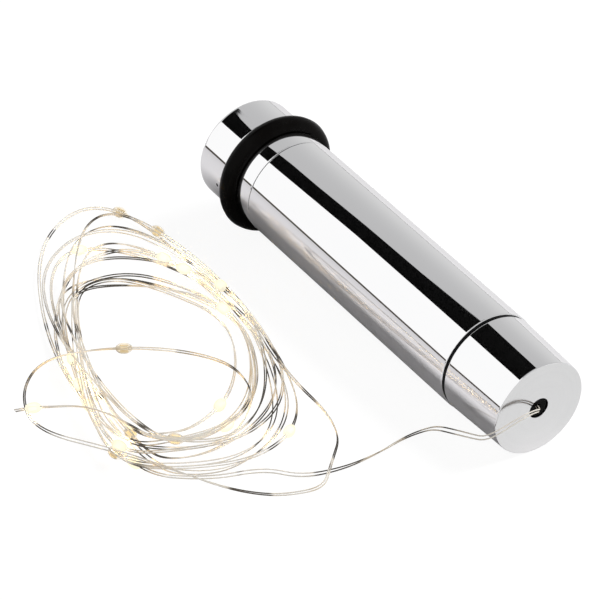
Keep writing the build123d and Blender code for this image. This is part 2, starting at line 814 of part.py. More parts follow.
def coil_points():
    """Where the wire passes each quarter of its turns, and which way it heads there."""
    points = []
    for quarter in range(4 * COIL_LAYERS * TURNS_A_LAYER):
        turns = quarter / 4
        height = coil_height(turns)
        heading = COIL_HEADING - 90 * (quarter % 4 + 1)
        if quarter % 4 == 0:
            reach = between(NEAR_REACH, turns)
            place = on_floor(reach, lean(NEAR_REACH, reach, *NEAR_SIDEWAYS), height)
        elif quarter % 4 == 1:
            reach = between(LEFT_REACH, turns)
            place = on_floor(lean(LEFT_REACH, reach, *LEFT_SIDEWAYS), -reach, height)
        elif quarter % 4 == 2:
            reach = between(FAR_REACH, turns)
            place = on_floor(-reach, lean(FAR_REACH, reach, *FAR_SIDEWAYS), height)
        else:
            reach = between(RIGHT_REACH, turns)
            place = on_floor(lean(RIGHT_REACH, reach, *RIGHT_SIDEWAYS), reach, height)
        points.append((place, way(heading)))
    for along, across, angle, height in LOOSE_TURN:
        points.append((on_floor(along, across, height), way(COIL_HEADING + angle)))
    return points


def coil_arcs():
    """Two arcs for each quarter turn, the shorter one at the narrow far end."""
    points = coil_points()
    wound = 4 * COIL_LAYERS * TURNS_A_LAYER
    arcs = []
    for number, (here, there) in enumerate(zip(points, points[1:])):
        share = 1
        if number < wound and number % 4 == 1:
            share = TIP_SHARE
        if number < wound and number % 4 == 2:
            share = 1 / TIP_SHARE
        arcs += two_arcs(*here, *there, share)
    return arcs, points[0][1], points[-1][1]


def bend_radii(points):
    """As large a radius at each corner of a free stretch as its two runs allow."""
    radii = []
    for before, here, after in zip(points, points[1:], points[2:]):
        run_in = here - before
        run_out = after - here
        half_turn = radians(run_in.get_angle(run_out)) / 2
        radii.append(CORD_BEND_SHARE * min(run_in.length, run_out.length) / tan(half_turn))
    return radii


def cord_tube(name, points):
    """A faceted wire along straight runs and tangent arcs."""
    radii = bend_radii(points)
    path = FilletPolyline(*points, radius=radii)
    section = Plane(origin=path @ 0, z_dir=path % 0) * RegularPolygon(wire_radius, WIRE_SIDES)
    tube = sweep(section, path=path)
    print(name, "radii", [round(radius, 1) for radius in radii], "length", round(path.length, 1),
          "volume share", round(tube.volume / (section.area * path.length), 4))
    return path, tube


def lead_points(coil_start, coil_way):
    """The lead's route: straight out of the cap, over the floor and square into the coil."""
    x_out = Vector(cos(tilt), 0, -sin(tilt))
    seam = Vector(slide_to_middle, 0, lift)
    leaving = seam + x_out * grommet_back
    outside = seam + x_out * (cap_front + LEAD_STAND)
    joining = coil_start - coil_way * LEAD_APPROACH
    return [leaving, outside, *from_face(LEAD_ROUTE), joining, coil_start]


def light_points(paths):
    """Places along the whole wire, shifted a little from even ones, each with the wire's way there."""
    total = sum(path.length for path in paths)
    pitch = (total - LED_END_STUB) / len(LED_SHIFTS)
    print("whole wire", round(total, 1), "from one light to the next", round(pitch, 2))
    places = []
    for number, shift in enumerate(LED_SHIFTS, start=1):
        distance = number * pitch + shift
        for path in paths:
            if distance <= path.length:
                break
            distance -= path.length
        share = distance / path.length
        places.append(Plane(origin=path.position_at(share), x_dir=(0, 0, 1), z_dir=path.tangent_at(share)))
    return places


def resin_bead():
    """One drop of resin, drawn along Z round the wire, hollowed for its light chip."""
    half = BEAD_LENGTH / 2
    barrel = BEAD_BARREL / 2
    wide = BEAD_DIAMETER / 2
    tip = BEAD_TIP_DIAMETER / 2
    outline = RegularPolygon(wide, BEAD_SIDES)
    narrowing = atan2((wide - tip) * cos(pi / BEAD_SIDES), half - barrel)
    end = Pos(0, 0, barrel) * extrude(outline, half - barrel, taper=degrees(narrowing))
    drop = extrude(outline, barrel, both=True) + end + Rot(180, 0, 0) * end
    return drop - led_chip()


def led_chip():
    return Pos(wire_radius, 0, 0) * Box(LED_CHIP_HEIGHT, LED_CHIP_WIDTH, LED_CHIP_LENGTH,
                                        align=(Align.MIN, Align.CENTER, Align.CENTER))


def save(name, piece, place=laid):
    export_step(place(piece), f"parts/{name}.step")


def in_place(piece):
    return piece


os.makedirs("parts", exist_ok=True)

for maker in (
    battery_tube, front_cap, insulating_sleeve, cell_can, cell_wrap, cell_nub, cell_seal,
    board_holder, ground_strip, positive_contact, driver_board, driver_chip, inductor,
    capacitors, diode, wire_grommet, wire_stop, inner_leads,
    plug_core, neck_collar, sealing_ring, negative_contact, battery_spring, live_stud,
    ground_stud, ground_tab, pivot_screw, pivot_washer,
    head_shell, head_core, wiper_contact,
):
    save(maker.__name__, maker())

arcs, first_way, last_way = coil_arcs()
coil_path, coil = wound_tube(arcs, first_way, last_way, wire_radius, WIRE_SIDES, WIRE_DIAMETER)
print("coil length", round(coil_path.length, 1), "least gap", round(least_gap(coil_path, WIRE_DIAMETER), 2),
      "tightest", round(min(arc.radius for arc in arcs), 2))
save("wire_coil", coil, in_place)

lead_path, lead = cord_tube("lead", lead_points(coil_path @ 0, first_way))
save("wire_lead", lead, in_place)

tail_start = coil_path @ 1
tail_route = [tail_start, tail_start + last_way * WIRE_DIAMETER * 2, *from_face(TAIL_ROUTE)]
tail_path, tail = cord_tube("tail", tail_route)
save("wire_tail", tail, in_place)

places = light_points([lead_path, coil_path, tail_path])
save("led_beads", Compound(children=[place * resin_bead() for place in places]), in_place)
save("led_chips", Compound(children=[place * led_chip() for place in places]), in_place)
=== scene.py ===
# %% [markdown]
# # A bottle light with its coil of lit wire
# The object is a chrome tube that goes into the neck of a bottle. It has a twist head behind
# a rubber ring, and a fine wire with drops of light comes out of its front cap. The plain
# shapes are loaded as a fixed frame in metres, and every piece is put where it says.

# %% The frame and its box
import math
import random

import bpy
import numpy as np
from mathutils import Matrix, Vector


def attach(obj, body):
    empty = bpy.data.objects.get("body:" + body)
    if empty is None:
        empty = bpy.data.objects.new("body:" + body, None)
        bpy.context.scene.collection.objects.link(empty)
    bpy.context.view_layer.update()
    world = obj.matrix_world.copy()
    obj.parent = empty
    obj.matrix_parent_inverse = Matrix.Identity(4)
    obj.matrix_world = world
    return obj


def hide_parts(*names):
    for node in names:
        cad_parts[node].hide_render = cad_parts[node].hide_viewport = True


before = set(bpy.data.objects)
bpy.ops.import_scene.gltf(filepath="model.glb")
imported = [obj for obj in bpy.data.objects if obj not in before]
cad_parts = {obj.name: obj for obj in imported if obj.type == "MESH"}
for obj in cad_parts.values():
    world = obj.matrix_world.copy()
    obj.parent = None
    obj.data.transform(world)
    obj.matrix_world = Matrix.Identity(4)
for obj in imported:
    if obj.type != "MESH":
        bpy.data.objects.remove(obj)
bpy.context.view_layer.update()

MM = 0.001
scene = bpy.context.scene


def linked(name, data):
    """A new object, put into the scene."""
    made = bpy.data.objects.new(name, data)
    scene.collection.objects.link(made)
    return made


def mesh_of(name, vertices, edges, faces):
    mesh = bpy.data.meshes.new(name)
    mesh.from_pydata(vertices, edges, faces)
    return mesh


# %% [markdown]
# ## Where the light lies
# The real light lies on its rubber ring and on the rim of its tube, so it dips a little
# towards the wire. Turned pieces are easiest to draw along a straight axis, with the seam
# between tube and plug at zero. One matrix then lays each of them down on the floor.

# %% The axis of the light
TILT = 0.0331123
SEAM = Vector((-27.3284, 0, 10.8162)) * MM
LAID = Matrix.Translation(SEAM) @ Matrix.Rotation(TILT, 4, "Y")
AXIS = Vector((math.cos(TILT), 0, -math.sin(TILT)))

TUBE_RADIUS = 9.0
TUBE_BORE = 7.9
TUBE_FRONT = 55.5
CAP_BACK = 56.08
CAP_BORE = 7.4
CAP_FLOOR = 67.6
CAP_HOLE = 1.8
CAP_FACE = 69.2
GROMMET_BACK = 67.0
COLLAR_BACK = -3.5
COLLAR_FRONT = -0.12
COLLAR_BORE = 8.15
RING_MIDDLE = -5.4
RING_RADIUS = 9.2
RING_THICKNESS = 3.47
HEAD_RADIUS = 9.4
HEAD_BORE = 8.6
HEAD_FRONT = -7.5
HEAD_FLOOR = -13.4
HEAD_BACK = -14.5
print("axis dips", round(math.degrees(TILT), 2), "degrees")

# %% [markdown]
# ## The camera
# The camera was found from the photograph: circles on the object show as ellipses, which fix
# where the lens was. It is a long lens, far away.

# %% The camera at the photograph's place
EYE = Vector((412.447, -294.159, 371.735)) * MM
LOOKING = Vector((-0.67171, 0.45150, -0.58732))
FOCAL_PIXELS = 3805.1
FRAME_PIXELS = 600

camera_data = bpy.data.cameras.new("camera")
camera_data.sensor_width = 36
camera_data.lens = camera_data.sensor_width * FOCAL_PIXELS / FRAME_PIXELS
camera_data.clip_start = 0.01
camera_data.clip_end = 50
camera = linked("camera", camera_data)
camera.rotation_mode = "QUATERNION"
camera.location = EYE
camera.rotation_quaternion = LOOKING.to_track_quat("-Z", "Y")
scene.camera = camera
print("lens", round(camera_data.lens, 1), "mm")

# %% [markdown]
# ## Shader maths in Python
# A material is a small calculation for each point of a surface. Wiring it node by node hides
# the formula, so a class wraps a node's output and turns + - * into Math nodes. One method
# makes any node, with its settings and then its inputs.

# %% A wrapped output and a tree of nodes
class Value:
    """A node's output that can be used in a Python expression."""

    def __init__(self, tree, socket):
        self.tree = tree
        self.socket = socket

    def math(self, operation, *others):
        inputs = dict(enumerate((self, *others)))
        return self.tree.node("ShaderNodeMath", {"operation": operation}, inputs)

    def __add__(self, other):
        return self.math("ADD", other)

    def __sub__(self, other):
        return self.math("SUBTRACT", other)

    def __mul__(self, other):
        return self.math("MULTIPLY", other)

    def __rsub__(self, other):
        return self.tree.node("ShaderNodeMath", {"operation": "SUBTRACT"}, {0: other, 1: self})

    __radd__ = __add__
    __rmul__ = __mul__

    def ramp(self, low, high):
        """A smooth step from 0 to 1 while the value goes from low to high."""
        inputs = {"Value": self, "From Min": low, "From Max": high}
        return self.tree.node("ShaderNodeMapRange", {"interpolation_type": "SMOOTHSTEP"}, inputs)


class Tree:
    """A node tree with one method that makes any node."""

    def __init__(self, nodes_owner):
        self.tree = nodes_owner

    def node(self, kind, settings=None, inputs=None, output=0):
        made = self.tree.nodes.new(kind)
        for name, setting in (settings or {}).items():
            setattr(made, name, setting)
        for key, value in (inputs or {}).items():
            self.feed(made, key, value)
        return Value(self, made.outputs[output])

    def feed(self, node, key, value):
        if isinstance(value, Value):
            self.tree.links.new(value.socket, node.inputs[key])
        else:
            node.inputs[key].default_value = value

    def mix(self, share, first, second):
        """A colour between two, by a share that varies over the surface."""
        # sockets 0, 6 and 7 of a Mix node are its factor and its two colours
        colors = [(*c, 1) if isinstance(c, tuple) else c for c in (first, second)]
        inputs = {0: share, 6: colors[0], 7: colors[1]}
        return self.node("ShaderNodeMix", {"data_type": "RGBA"}, inputs, output=2)

    def object_place(self):
        return self.node("ShaderNodeTexCoord", output=3)

    def noise(self, place, scale, detail=2.0, rough=0.5, stretch=None):
        if stretch:
            place = self.node("ShaderNodeMapping", None, {"Vector": place, "Scale": stretch})
        inputs = {"Vector": place, "Scale": scale, "Detail": detail, "Roughness": rough}
        return self.node("ShaderNodeTexNoise", None, inputs)

    def split(self, vector):
        made = self.node("ShaderNodeSeparateXYZ", None, {"Vector": vector})
        outputs = made.socket.node.outputs
        return [Value(self, outputs[number]) for number in range(3)]


print("shader maths ready")

# %% [markdown]
# ## A finish is a function
# Each finish starts from the same Principled shader. What is the same all over is set on its
# own sockets. What varies is a formula of the place on the object, which is fed in.

# %% Making a finish, and places along the light's own axis
def finish(name, **sockets):
    """A new material: its tree and its Principled shader, with constant sockets set."""
    material = bpy.data.materials.new(name)
    material.use_nodes = True
    tree = Tree(material.node_tree)
    shader = material.node_tree.nodes["Principled BSDF"]
    for key, value in sockets.items():
        label = key.replace("_", " ").title().replace("Ior", "IOR")
        shader.inputs[label].default_value = (*value, 1) if isinstance(value, tuple) else value
    return material, tree, shader


def along_axis(tree):
    """The place in millimetres along the light's axis, then across it in two directions."""
    return tree.node("ShaderNodeMapping", {"vector_type": "TEXTURE"}, {
        "Vector": tree.object_place(), "Location": SEAM, "Rotation": (0, TILT, 0),
        "Scale": (MM, MM, MM),
    })


def bumped(tree, shader, height, distance, strength=1.0):
    """Raises the surface in its shading only, by a height that varies from 0 to 1."""
    inputs = {"Height": height, "Distance": distance, "Strength": strength}
    tree.feed(shader, "Normal", tree.node("ShaderNodeBump", None, inputs))


print("finishes can be made")

# %% [markdown]
# ## Chrome
# Chrome has hardly any colour of its own and shows the room. What makes it believable goes
# into the roughness: a faint haze in soft clouds, and fine wiping marks along the tube.

# %% Chrome, satin and the other metals
def polished(name, color, haze=0.035, scratches=0.05, rough=0.015):
    """A plated finish whose haze and wiping marks vary the roughness."""
    material, tree, shader = finish(name, metallic=1.0)
    place = along_axis(tree)
    cloud = tree.noise(place, 0.12, 3.0, 0.6)
    marks = tree.noise(place, 1.0, 2.0, 0.7, stretch=(0.15, 4.0, 4.0))
    fine = marks.ramp(0.62, 0.75)
    tree.feed(shader, "Roughness", rough + cloud.ramp(0.45, 0.8) * haze + fine * scratches)
    warm = tuple(c * 0.985 for c in color)
    tree.feed(shader, "Base Color", tree.mix(cloud, color, warm))
    return material


def brushed_face(name):
    """The turned end face: rings round the axis and a soft sheen."""
    material, tree, shader = finish(name, metallic=1.0)
    place = along_axis(tree)
    _, y, z = tree.split(place)
    radius = (y * y + z * z).math("SQRT")
    ring_place = tree.node("ShaderNodeCombineXYZ", None, {"X": radius})
    rings = tree.noise(ring_place, 9.0, 3.0, 0.8)
    broad = tree.noise(ring_place, 1.6, 1.0, 0.5)
    tree.feed(shader, "Roughness", 0.10 + rings * 0.10)
    worn = rings * 0.6 + broad * 0.4
    tree.feed(shader, "Base Color", tree.mix(worn, (0.84, 0.84, 0.84), (0.98, 0.98, 0.975)))
    bumped(tree, shader, rings, 0.000004, 0.3)
    return material


CHROME = polished("chrome", (0.95, 0.95, 0.955))
SATIN = brushed_face("turned_face")
STEEL = polished("contact_steel", (0.60, 0.59, 0.57), haze=0.12, scratches=0.2, rough=0.18)
NICKEL = polished("nickel", (0.72, 0.69, 0.64), haze=0.1, scratches=0.15, rough=0.14)
BRASS = polished("brass", (0.80, 0.60, 0.30), haze=0.15, scratches=0.1, rough=0.16)
print("metals", CHROME.name, SATIN.name, STEEL.name, NICKEL.name, BRASS.name)

# %% [markdown]
# ## Rubber and plastics
# Rubber is black but never even: mould release and dust leave a faint bloom, and a fine grain
# breaks up the highlight. Plastic uses the same recipe with other numbers.

# %% Rubber and plastics
def moulded(name, color, rough, grain, grain_size, bloom=0.03, coat=0.0, mirror=0.5):
    """A moulded finish: base colour with a faint bloom, grain in the normal."""
    material, tree, shader = finish(name, coat_weight=coat, specular_ior_level=mirror)
    place = tree.object_place()
    cloud = tree.noise(place, 260.0, 4.0, 0.6)
    skin = tree.noise(place, 1 / (grain_size * MM), 2.0, 0.6)
    pale = tuple(min(1.0, c + bloom) for c in color)
    tree.feed(shader, "Base Color", tree.mix(cloud.ramp(0.4, 0.8), color, pale))
    tree.feed(shader, "Roughness", rough + skin * 0.12)
    bumped(tree, shader, skin, grain * MM)
    return material


RUBBER = moulded("black_rubber", (0.0022, 0.0018, 0.0015), 0.22, 0.006, 0.15,
                 bloom=0.002, mirror=0.05)
BLACK_PLASTIC = moulded("black_plastic", (0.003, 0.003, 0.0035), 0.34, 0.006, 0.2,
                        bloom=0.008, mirror=0.08)
CELL_SLEEVE = moulded("cell_sleeve", (0.10, 0.16, 0.30), 0.28, 0.004, 0.3, coat=0.4)
SLEEVE_CARD = moulded("insulating_card", (0.55, 0.52, 0.44), 0.6, 0.02, 0.15)
BOARD_LACQUER = moulded("board_lacquer", (0.02, 0.16, 0.07), 0.32, 0.004, 0.25, coat=0.3)
CERAMIC = moulded("ceramic", (0.42, 0.30, 0.20), 0.45, 0.003, 0.1)
FERRITE = moulded("ferrite", (0.05, 0.05, 0.055), 0.55, 0.006, 0.08)
print("moulded finishes made")

# %% [markdown]
# ## Turning a shell
# The tube, cap, collar, head, ring and grommet are turned shapes. A lathe in code spins an
# outline of (place, radius) points. Mirror metal shows every facet, so there are many
# segments, corners are small arcs, and a support step beside each arc keeps the flats flat.

# %% A lathe with rounded corners
def rounded(outline, support=0.04, steps=5):
    """The outline with a small arc at each corner that has a third number, its radius."""
    points = []
    count = len(outline)
    for number, corner in enumerate(outline):
        here = Vector(corner[:2])
        radius = corner[2] if len(corner) > 2 else 0
        if not radius:
            points.append(here)
            continue
        before = (Vector(outline[number - 1][:2]) - here).normalized()
        after = (Vector(outline[(number + 1) % count][:2]) - here).normalized()
        half = before.angle(after) / 2
        run = radius / math.tan(half)
        middle = here + (before + after).normalized() * (radius / math.sin(half))
        start = here + before * run
        end = here + after * run
        points.append(start + before * support)
        for step in range(steps + 1):
            turn = (start - middle).slerp(end - middle, step / steps, start - middle)
            points.append(middle + turn * radius)
        points.append(end + after * support)
    return points


print("corners can be rounded")


# %% Spinning an outline
def shaded(mesh, angle=35):
    """Smooth shading with edges sharper than an angle kept."""
    mesh.polygons.foreach_set("use_smooth", [True] * len(mesh.polygons))
    mesh.set_sharp_from_angle(angle=math.radians(angle))
    return mesh


def turned(name, outline, materials, pick=None, segments=240, place=LAID):
    """A shell spun round the light's axis from a closed outline in millimetres."""
    points = rounded(outline)
    rings = []
    vertices = []
    for x, radius in points:
        if radius < 1e-6:
            rings.append([len(vertices)] * segments)
            vertices.append((x, 0, 0))
            continue
        rings.append(list(range(len(vertices), len(vertices) + segments)))
        for step in range(segments):
            angle = math.tau * step / segments
            vertices.append((x, radius * math.cos(angle), radius * math.sin(angle)))
    faces = []
    for number, ring in enumerate(rings):
        other = rings[(number + 1) % len(rings)]
        for step in range(segments):
            follow = (step + 1) % segments
            corners = (ring[step], ring[follow], other[follow], other[step])
            corners = list(dict.fromkeys(corners))
            if len(corners) > 2:
                faces.append(corners)
    mesh = mesh_of(name, [Vector(v) * MM for v in vertices], [], faces)
    for material in materials:
        mesh.materials.append(material)
    if pick:
        for face in mesh.polygons:
            face.material_index = pick(face.center / MM)
    mesh.transform(place)
    mesh.update()
    print(name, len(vertices), "points")
    return linked(name, shaded(mesh))


print("outlines can be spun")

# %% [markdown]
# ## Tube, cap, collar and head
# Outlines run forwards along the inside and back along the outside, so that faces look
# outwards. The cap carries two finishes, picked by where a face lies: its end face is turned
# metal with a satin look, and the rest is chrome.

# %% The chrome shells
tube = turned("tube_shell", [
    (0, TUBE_BORE, 0.1), (TUBE_FRONT, TUBE_BORE, 0.1),
    (TUBE_FRONT, TUBE_RADIUS - 0.015, 0.16), (0, TUBE_RADIUS, 0.14),
], [CHROME])


def cap_finish(middle):
    """1, the satin, for the flat end face, and 0 elsewhere."""
    return 1 if middle.x > CAP_FACE - 0.01 and middle.yz.length > CAP_HOLE + 0.05 else 0


cap = turned("cap_shell", [
    (CAP_BACK, CAP_BORE, 0.1), (CAP_FLOOR, CAP_BORE), (CAP_FLOOR, CAP_HOLE),
    (CAP_FACE, CAP_HOLE, 0.12), (CAP_FACE, 8.4, 0.18), (CAP_BACK, 8.87, 0.15),
], [CHROME, SATIN], cap_finish)

collar = turned("collar_shell", [
    (COLLAR_BACK, COLLAR_BORE, 0.05), (COLLAR_FRONT, COLLAR_BORE, 0.05),
    (COLLAR_FRONT, TUBE_RADIUS, 0.12), (COLLAR_BACK, TUBE_RADIUS, 0.12),
], [CHROME])

head = turned("head_cap", [
    (HEAD_BACK, 0), (HEAD_FLOOR, 0), (HEAD_FLOOR, HEAD_BORE), (HEAD_FRONT, HEAD_BORE, 0.1),
    (HEAD_FRONT, HEAD_RADIUS, 0.2), (HEAD_BACK, HEAD_RADIUS, 0.6),
], [CHROME])

# %% [markdown]
# ## The index mark
# A tiny mark, a small hole in the head's side, shows how far the head is turned. Its dark
# inside is painted shade: a black disc turned round its own axis, which points straight out of
# the head's side.

# %% The index mark
MARK_PLACE = -9.0
MARK_ANGLE = 186
MARK_RADIUS = 0.31
mark_place = (LAID @ Matrix.Translation(Vector((MARK_PLACE, 0, 0)) * MM)
              @ Matrix.Rotation(math.radians(MARK_ANGLE - 90), 4, "X")
              @ Matrix.Rotation(math.radians(-90), 4, "Y"))
# painted shade: a black disc stands for the dark inside of the small hole
mark = turned("index_mark", [
    (9.2, 0), (HEAD_RADIUS + 0.015, 0), (HEAD_RADIUS + 0.005, MARK_RADIUS, 0.02), (9.2, 0.33),
], [BLACK_PLASTIC], segments=24, place=mark_place)

# %% [markdown]
# ## Rubber ring and grommet
# The ring is an O-ring with a fine parting line round it, which catches a thin highlight. The
# grommet is a soft black bush in the hole, with a rounded lip round the wire.

# %% Ring and grommet
def ring_outline(middle, mean_radius, thickness, line=0.05, steps=40):
    """A round section, raised at its outermost point by the parting line."""
    points = []
    for step in range(steps):
        angle = -math.tau * step / steps
        reach = thickness / 2 + (line if step == 0 else 0)
        points.append((middle + reach * math.sin(angle), mean_radius + reach * math.cos(angle)))
    return points


ring = turned("rubber_ring", ring_outline(RING_MIDDLE, RING_RADIUS, RING_THICKNESS), [RUBBER])
grommet = turned("grommet", [
    (GROMMET_BACK, 2.8), (CAP_FLOOR, 2.8), (CAP_FLOOR, 1.78), (68.85, 1.78, 0.25),
    (68.85, 0.52, 0.18), (GROMMET_BACK, 0.52),
], [RUBBER], segments=96)

# %% [markdown]
# ## The wire's route
# The wire's line comes from the photograph: a short free stretch out of the cap, then twelve
# turns wound round a hand and a loose one, dropped on the floor, and a free end. The turns
# can't be counted, so their number is an estimate. The free stretches are listed points. The
# turns are worked out: each quarter runs from one reach of the coil to the next, and the
# reaches shrink and grow layer by layer as the wire was wound.

# %% Points of the free stretches and sizes of the coil
# in millimetres, with x from the cap's face
FACE_X = SEAM.x / MM + CAP_FACE * math.cos(TILT)
LEAD_ROUTE = (
    (1.6, -1.9, 9.8), (2.0, -4.2, 10.1), (1.9, -6.6, 9.6), (1.3, -8.9, 8.4),
    (0.0, -10.6, 7.1), (-2.8, -11.0, 6.0), (-7.0, -11.0, 4.1), (-11.6, -11.1, 2.0),
    (-13.4, -12.1, 0.9), (-13.9, -15.8, 0.6), (-13.0, -21.5, 0.5), (-12.9, -28.2, 0.5),
    (-14.8, -34.8, 0.5),
)
TAIL_ROUTE = (
    (-43.7, -58.6, 6.3), (-46.2, -61.2, 5.6), (-48.8, -63.3, 4.7), (-50.7, -65.34, 3.7),
)
COIL_MIDDLE = (-56.8, -37.0)
COIL_HEADING = -15.4
COIL_LAYERS = 4
TURNS_A_LAYER = 3
COIL_FIRST_HEIGHT = 1.0
LAYER_PITCH = 1.4
CLIMB_SHARE = 0.5
RUN_IN = 4.5
# how far a turn strays from its even place, and its heading in degrees, and a single point
WANDER = 1.35
HEADING_WANDER = 6.0
SPRINGINESS = 0.5
# for each side of the coil: how far the turns reach at each change of layer, and how far the
# widest and the narrowest one cross off the middle line
SIDES = (
    ((35.5, 28.0, 36.5, 27.0, 35.0), (2.2, -1.4)),
    ((14.2, 12.8, 15.2, 9.4, 15.2), (6.0, 9.4)),
    ((47.6, 13.4, 37.0, 11.0, 31.0), (5.0, -4.3)),
    ((18.8, 14.6, 18.6, 14.2, 18.0), (12.4, 4.7)),
)
# along and across the coil, heading in degrees, height
LOOSE_TURN = (
    (40.6, 18.2, -30.0, 3.4), (46.9, 12.2, -88.0, 3.4), (44.6, 3.6, -124.0, 3.4),
    (32.8, -9.2, -136.0, 3.8), (12.2, -23.8, -182.0, 3.4), (5.6, -16.6, -265.0, 6.6),
    (10.8, 3.2, -302.0, 6.6), (21.0, 10.2, -358.0, 6.6), (32.3, -2.5, -450.0, 6.6),
    (20.5, -14.6, -500.0, 6.6),
)
print("coil of", COIL_LAYERS * TURNS_A_LAYER, "turns and a loose one")

# %% Working out the turns
def way(angle):
    """The direction of a heading in degrees from the coil's long one."""
    turn = math.radians(angle + COIL_HEADING)
    return Vector((math.cos(turn), math.sin(turn), 0))


def on_floor(along, across, height):
    """A place given along and across the coil, from its middle."""
    middle = Vector((FACE_X + COIL_MIDDLE[0], COIL_MIDDLE[1], height))
    return middle + way(0) * along + way(90) * across


def coil_height(turns):
    """Level within a layer, with a climb between two."""
    climbed = 0
    for layer in range(1, COIL_LAYERS):
        start = TURNS_A_LAYER * layer - CLIMB_SHARE / 2
        climbed += min(max((turns - start) / CLIMB_SHARE, 0), 1)
    return COIL_FIRST_HEIGHT + LAYER_PITCH * climbed


def wander(number, size, pace, start):
    """A small shift that changes from quarter to quarter without repeating."""
    slow = math.sin(pace * number + start)
    quick = math.sin(2.39 * pace * number + 2 * start)
    return size * (slow + 0.7 * quick)


def wound_places():
    """Where the wire passes each quarter of its turns, and which way it heads there."""
    places = []
    for quarter in range(4 * COIL_LAYERS * TURNS_A_LAYER):
        turns = quarter / 4
        layer = int(turns // TURNS_A_LAYER)
        side = quarter % 4
        reaches, offsets = SIDES[side]
        share = turns / TURNS_A_LAYER - layer
        reach = reaches[layer] + (reaches[layer + 1] - reaches[layer]) * share
        lean = (reach - reaches[1]) / (reaches[0] - reaches[1])
        offset = offsets[1] + (offsets[0] - offsets[1]) * lean
        reach += wander(quarter, WANDER, 1.93, 0.4)
        offset += wander(quarter, 1.3 * WANDER, 2.71, 1.7)
        heading = -90 * (side + 1) + wander(quarter, HEADING_WANDER, 1.37, 2.2)
        along, across = ((reach, offset), (offset, -reach), (-reach, offset), (offset, reach))[side]
        places.append((on_floor(along, across, coil_height(turns)), way(heading)))
    loose = [(on_floor(*place, height), way(angle)) for *place, angle, height in LOOSE_TURN]
    return places, loose


print("places of quarter turns", len(wound_places()[0]))

# %% Bends between two places
# The tangents of a quarter circle's three equal arcs meet at its control points, so the first
# lies tan 15 degrees from its start. Fullness moves the middle point towards the corner.
NEAR_END = 2 - math.sqrt(3)
FULLNESS = (0.42, 0.06, -0.12, 0.06)


def wound_quarter(start, start_way, end, end_way, fullness):
    """Three control points of a quarter of an ellipse between two places."""
    chord = end - start
    cross = start_way.x * end_way.y - start_way.y * end_way.x
    corner = start + start_way * ((chord.x * end_way.y - chord.y * end_way.x) / cross)
    first = start.lerp(corner, NEAR_END)
    last = end.lerp(corner, NEAR_END)
    middle = start + (corner - start) * (1 - NEAR_END) + (end - corner) * NEAR_END
    middle = middle.lerp(corner, fullness)
    for point, share in ((first, 1 / 6), (middle, 1 / 2), (last, 5 / 6)):
        point.z = start.z + chord.z * share
    return [first, middle, last]


def loose_pair(start, start_way, end, end_way):
    """Two control points of an easy bend between two places of the loose turn."""
    chord = end - start
    pull = 2 * chord.dot(start_way + end_way)
    bend = 2 * (1 - start_way.dot(end_way))
    spread = chord.length_squared
    reach = 2 * spread / (pull + math.sqrt(pull * pull + 4 * bend * spread))
    return [start + start_way * reach, end - end_way * reach]


def route_points():
    """All control points of the wire, in millimetres."""
    wound, loose = wound_places()
    points = [SEAM / MM + AXIS * GROMMET_BACK, SEAM / MM + AXIS * (CAP_FACE + 0.6)]
    points += [Vector((FACE_X + x, y, z)) for x, y, z in LEAD_ROUTE]
    points.append(wound[0][0] - wound[0][1] * RUN_IN)
    shaken = random.Random(11)
    for number, (here, there) in enumerate(zip(wound, wound[1:])):
        for point in wound_quarter(*here, *there, FULLNESS[number % 4]):
            shift = Vector([shaken.uniform(-SPRINGINESS, SPRINGINESS) for axis in range(3)])
            points.append(point + shift * Vector((1, 1, 0.5)))
    free = [wound[-1], *loose]
    for here, there in zip(free, free[1:]):
        points += loose_pair(*here, *there)
    points.append(loose[-1][0])
    points += [Vector((FACE_X + x, y, z)) for x, y, z in TAIL_ROUTE]
    return points


ROUTE = route_points()
print("control points of the wire", len(ROUTE))

# %% [markdown]
# ## One smooth line
# The points become one open spline. Its order and its end setting have an effect only after
# the points are in. The line is then read back as a row of points, and both strands, the
# drops and the measured length all follow that row.

# %% The spline, read back as points
def plain_mesh(holder):
    """An object's final mesh. The object itself is removed."""
    bpy.context.view_layer.update()
    depsgraph = bpy.context.evaluated_depsgraph_get()
    mesh = bpy.data.meshes.new_from_object(holder.evaluated_get(depsgraph))
    bpy.data.objects.remove(holder)
    return mesh


def line_of(points, name):
    """The points of a smooth open spline through a row of control points, in metres."""
    curve = bpy.data.curves.new(name, "CURVE")
    curve.dimensions = "3D"
    curve.resolution_u = 12
    spline = curve.splines.new("NURBS")
    spline.points.add(len(points) - 1)
    for target, point in zip(spline.points, points):
        target.co = (*(point * MM), 1)
    spline.order_u = 3
    spline.use_endpoint_u = True
    return np.array([vertex.co for vertex in plain_mesh(linked(name, curve)).vertices])


def measured(line):
    """The distance along a line at each of its points."""
    steps = np.linalg.norm(np.diff(line, axis=0), axis=1)
    return np.concatenate([[0], np.cumsum(steps)])


WIRE_LINE = line_of(ROUTE, "wire_route")
WIRE_AT = measured(WIRE_LINE)
print("wire length", round(WIRE_AT[-1] * 1000, 1), "mm in", len(WIRE_LINE), "points")

# %% [markdown]
# ## Drawing wires with Geometry Nodes
# A wire is a round section drawn along a line. One node tree does that for the strands, the
# spring and the inner leads, with the radius and the number of sides as named inputs. It ends
# in Realize Instances and Set Material, and the result becomes a plain mesh.

# %% The wire-drawing tree
def geometry_tree(name, inputs):
    """An empty Geometry Nodes tree, and its named inputs as values."""
    group = bpy.data.node_groups.new(name, "GeometryNodeTree")
    group.interface.new_socket("Geometry", in_out="OUTPUT", socket_type="NodeSocketGeometry")
    group.interface.new_socket("Geometry", in_out="INPUT", socket_type="NodeSocketGeometry")
    for label, kind in inputs:
        group.interface.new_socket(label, in_out="INPUT", socket_type="NodeSocket" + kind)
    tree = Tree(group)
    start = group.nodes.new("NodeGroupInput")
    given = {item.name: Value(tree, item) for item in start.outputs if item.name}
    return tree, given


